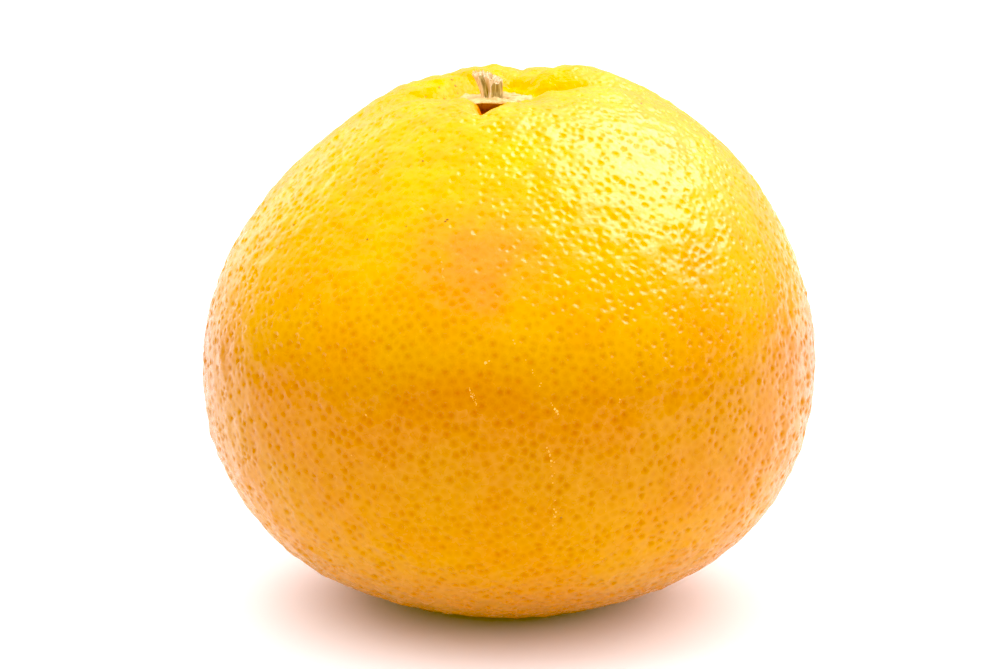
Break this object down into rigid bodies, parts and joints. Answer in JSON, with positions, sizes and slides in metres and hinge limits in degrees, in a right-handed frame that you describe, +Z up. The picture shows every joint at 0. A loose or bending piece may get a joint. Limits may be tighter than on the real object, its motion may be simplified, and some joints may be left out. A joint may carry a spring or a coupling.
{
  "type": "whole grapefruit",
  "caption": "Whole yellow-orange grapefruit with pitted rind, a furrowed stem end, its dry calyx and a split stalk stub, standing on its blossom end.",
  "frame": {"origin": "centre of the footprint, on the flat spot at the blossom end that the fruit stands on", "axes": "+Z up from the blossom end through the stem end, which is the fruit's shortest way; the picture looks along +Y with +X to its right"},
  "size_m": [0.1119, 0.1121, 0.098],
  "materials": {
    "rind": "waxy citrus rind, pitted, satin sheen, yellow above to orange below",
    "calyx": "dry pale tan plant tissue, matt",
    "stem": "dry olive-brown woody stalk with pale torn fibres"
  },
  "bodies": {
    "root": {"fruit": "rind", "calyx": "calyx", "stem": "stem"}
  },
  "joints": []
}
